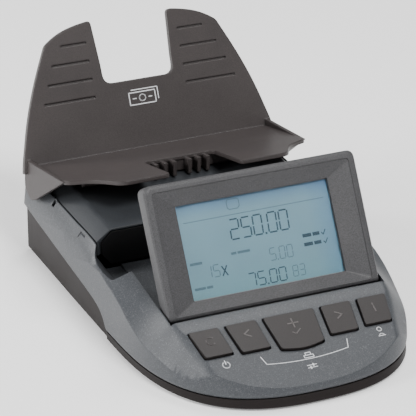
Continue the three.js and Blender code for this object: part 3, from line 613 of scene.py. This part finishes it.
# A plus sign over a small tick.
def enter_mark():
    plus = stroke([(0, KEY_ROW - 1.6), (0, KEY_ROW + 2.8)], BOLD_MARK)
    plus += stroke([(-2.2, KEY_ROW + 0.6), (2.2, KEY_ROW + 0.6)], BOLD_MARK)
    return plus + stroke([(-1.9, KEY_ROW - 3.9), (-0.7, KEY_ROW - 5.0), (1.9, KEY_ROW - 2.9)], SMALL_MARK)


# A stem with a dot over it.
def info_mark(u):
    stem = stroke([(u, KEY_ROW - 1.9), (u, KEY_ROW + 0.7)], BOLD_MARK)
    return stem + stroke([(u, KEY_ROW + 1.7), (u, KEY_ROW + 2.2)], BOLD_MARK)


def add_key_marks():
    marks = {
        "key_clear": stroke(arc(-OUTER_KEY, KEY_ROW, 1.9, 50, 310, 14), FINE_MARK),
        "key_back": arrow_head(-INNER_KEY, -1),
        "key_enter": enter_mark(),
        "key_forward": arrow_head(INNER_KEY, 1),
        "key_info": info_mark(OUTER_KEY),
    }
    for key, shapes in marks.items():
        add_plates(key + "_mark", shapes, KEY_MARK_HEIGHTS, DECK_PLANE, KEY_MARK_INK, key)


# ---------------------------------------------------------------- the deck's printing
DECK_PRINT_HEIGHTS = (-0.05, 0.035)
POWER_ICON_U = -35.3
USER_ICON_U = 35.5
BRACKET_HALF = 18.6
BRACKET_TOP_HALF = 19.8
BRACKET_DIP = 1.6
BRACKET_LINE = 0.3
ICON_SIZE = 4.2


# A ring open at the top, with a short bar in the gap.
def power_icon(u, v):
    ring = stroke(arc(u, v, 1.55, 125, 415, 20), 0.42)
    return ring + stroke([(u, v + 0.5), (u, v + 2.1)], 0.42)


# A bracket under the middle keys, with its long side bowed towards the front.
def bracket(low, top):
    shares = [-1 + step / 8 for step in range(17)]
    bow = [(BRACKET_HALF * share, low - BRACKET_DIP * (1 - share ** 2)) for share in shares]
    shapes = stroke([(-BRACKET_TOP_HALF, top), (-BRACKET_HALF, low)], BRACKET_LINE)
    shapes += stroke(bow, BRACKET_LINE)
    return shapes + stroke([(BRACKET_HALF, low), (BRACKET_TOP_HALF, top)], BRACKET_LINE)


def printer_icon(u, v, size):
    body = border(u, v, u + size, v + size * 0.3, 0.32)
    paper = stroke([(u + size * 0.22, v + size * 0.3), (u + size * 0.22, v + size * 0.6),
                    (u + size * 0.78, v + size * 0.6), (u + size * 0.78, v + size * 0.3)], 0.32)
    return body + paper


# Two level lines, each with a knob, for the settings.
def slider_icon(u, v, size):
    shapes = []
    for step, knob in enumerate((0.3, 0.65)):
        level = v + size * (0.12 + 0.3 * step)
        shapes += stroke([(u, level), (u + size, level)], 0.3)
        shapes += stroke([(u + size * knob, level - 0.42), (u + size * knob, level + 0.42)], 0.55)
    return shapes


# A ring over a half ring on a line.
def user_icon(u, ring_v, half_v):
    shapes = stroke(arc(u, ring_v, 1.0, 0, 360, 14), 0.34)
    shapes += stroke(arc(u, half_v, 1.1, 0, 180, 8), 0.34)
    return shapes + stroke([(u - 1.5, half_v), (u + 1.5, half_v)], 0.34)


def add_deck_printing():
    shapes = power_icon(POWER_ICON_U, deck_up(-85.6))
    shapes += bracket(deck_up(-89.1), deck_up(-85.3))
    shapes += printer_icon(-1.7, deck_up(-89.9), ICON_SIZE)
    shapes += slider_icon(-2.3, deck_up(-95.0), ICON_SIZE)
    shapes += user_icon(USER_ICON_U, deck_up(-84.0), deck_up(-87.1))
    add_plates("deck_printing", shapes, DECK_PRINT_HEIGHTS, DECK_PLANE, WHITE_INK, "base")


# ---------------------------------------------------------------- the hopper's banknote pictogram
NOTE_HALF_WIDTH = 6.4
NOTE_LOW = -15.0
NOTE_HIGH = -9.4
NOTE_RING = 1.5
NOTE_PRINT_HEIGHTS = (-0.03, 0.04)


def add_plate_pictogram():
    wide = NOTE_HALF_WIDTH
    middle = (NOTE_LOW + NOTE_HIGH) / 2
    behind = [(-wide + 1.4, NOTE_HIGH + 1.2), (wide + 1.4, NOTE_HIGH + 1.2), (wide + 1.4, NOTE_LOW + 1.4)]
    shapes = border(-wide, NOTE_LOW, wide, NOTE_HIGH, 0.5)
    shapes += stroke(arc(0, middle, NOTE_RING, 0, 360, 18), 0.45)
    shapes += stroke([(-4.6, middle), (-3.2, middle)], 0.45) + stroke([(3.2, middle), (4.6, middle)], 0.45)
    shapes += stroke(behind, 0.45)
    add_plates("plate_pictogram", shapes, NOTE_PRINT_HEIGHTS, PLATE_PLANE, WHITE_INK, "hopper")


# ---------------------------------------------------------------- small fittings
SOCKET_Z = 11
JACK_X = 28
JACK_PIN_RINGS = [(0.9, 0), (0.9, 7.2), (0.6, 7.8)]
CONTACT_LEFT = -30.6
CONTACT_WIDTH = 0.7
CONTACT_PITCH = 1.25
CONTACT_LOW = -0.9
CONTACT_LENGTH = 6.5
SCREW_FACE_Z = 1.2
CROSS_HALF_LENGTH = 1.5
CROSS_HALF_WIDTH = 0.3
CROSS_HEIGHTS = (-0.03, 0.3)
SCREW_PLACES = ((-50, -22), (50, -22), (-40, 74), (40, 74))


# A round piece from rings of (radius, height), closed at both ends.
def add_lathe(name, rings, matrix, material, body, steps=24):
    angles = [2 * math.pi * step / steps for step in range(steps)]
    vertices = []
    faces = []
    for radius, height in rings:
        vertices += [(radius * math.cos(angle), radius * math.sin(angle), height) for angle in angles]
    for ring in range(len(rings) - 1):
        for step in range(steps):
            after = (step + 1) % steps
            faces.append([ring * steps + step, ring * steps + after,
                          (ring + 1) * steps + after, (ring + 1) * steps + step])
    faces.append([step for step in reversed(range(steps))])
    faces.append([(len(rings) - 1) * steps + step for step in range(steps)])
    return add_piece(name, vertices, faces, matrix, material, body)


def add_socket_contacts():
    jack = plane((JACK_X, 70.7, SOCKET_Z), REAR_WAY)
    add_lathe("power_jack_pin", JACK_PIN_RINGS, jack, SLOT_LOOKS["steel"], "base")
    contacts = []
    for index in range(4):
        left = CONTACT_LEFT + CONTACT_PITCH * index
        contacts.append(box(left, CONTACT_LOW, left + CONTACT_WIDTH, 0.0))
    port = plane((0, 71, SOCKET_Z), REAR_WAY)
    heights = (0, CONTACT_LENGTH)
    add_plates("data_port_contacts", contacts, heights, port, SLOT_LOOKS["steel"], "base")


# Painted shade: a black cross on the head of each housing screw stands in for the shadow in its cross
# recess.
def add_screw_cross_shade():
    long = CROSS_HALF_LENGTH
    thin = CROSS_HALF_WIDTH
    cross = [box(-long, -thin, long, thin), box(-thin, -long, thin, long)]
    for index, (x, y) in enumerate(SCREW_PLACES):
        face = plane((x, y, SCREW_FACE_Z), 0)
        name = f"screw_cross_shade_{index + 1}"
        # These black plates are painted shade, not a black part of the screw.
        add_plates(name, cross, CROSS_HEIGHTS, face, SLOT_LOOKS["black"], "base")


add_camera()
add_sky()
for light in LIGHTS:
    add_area_light(*light)
add_floor()
dress_nodes()
add_display_picture()
add_window()
add_key_marks()
add_deck_printing()
add_plate_pictogram()
add_socket_contacts()
add_screw_cross_shade()
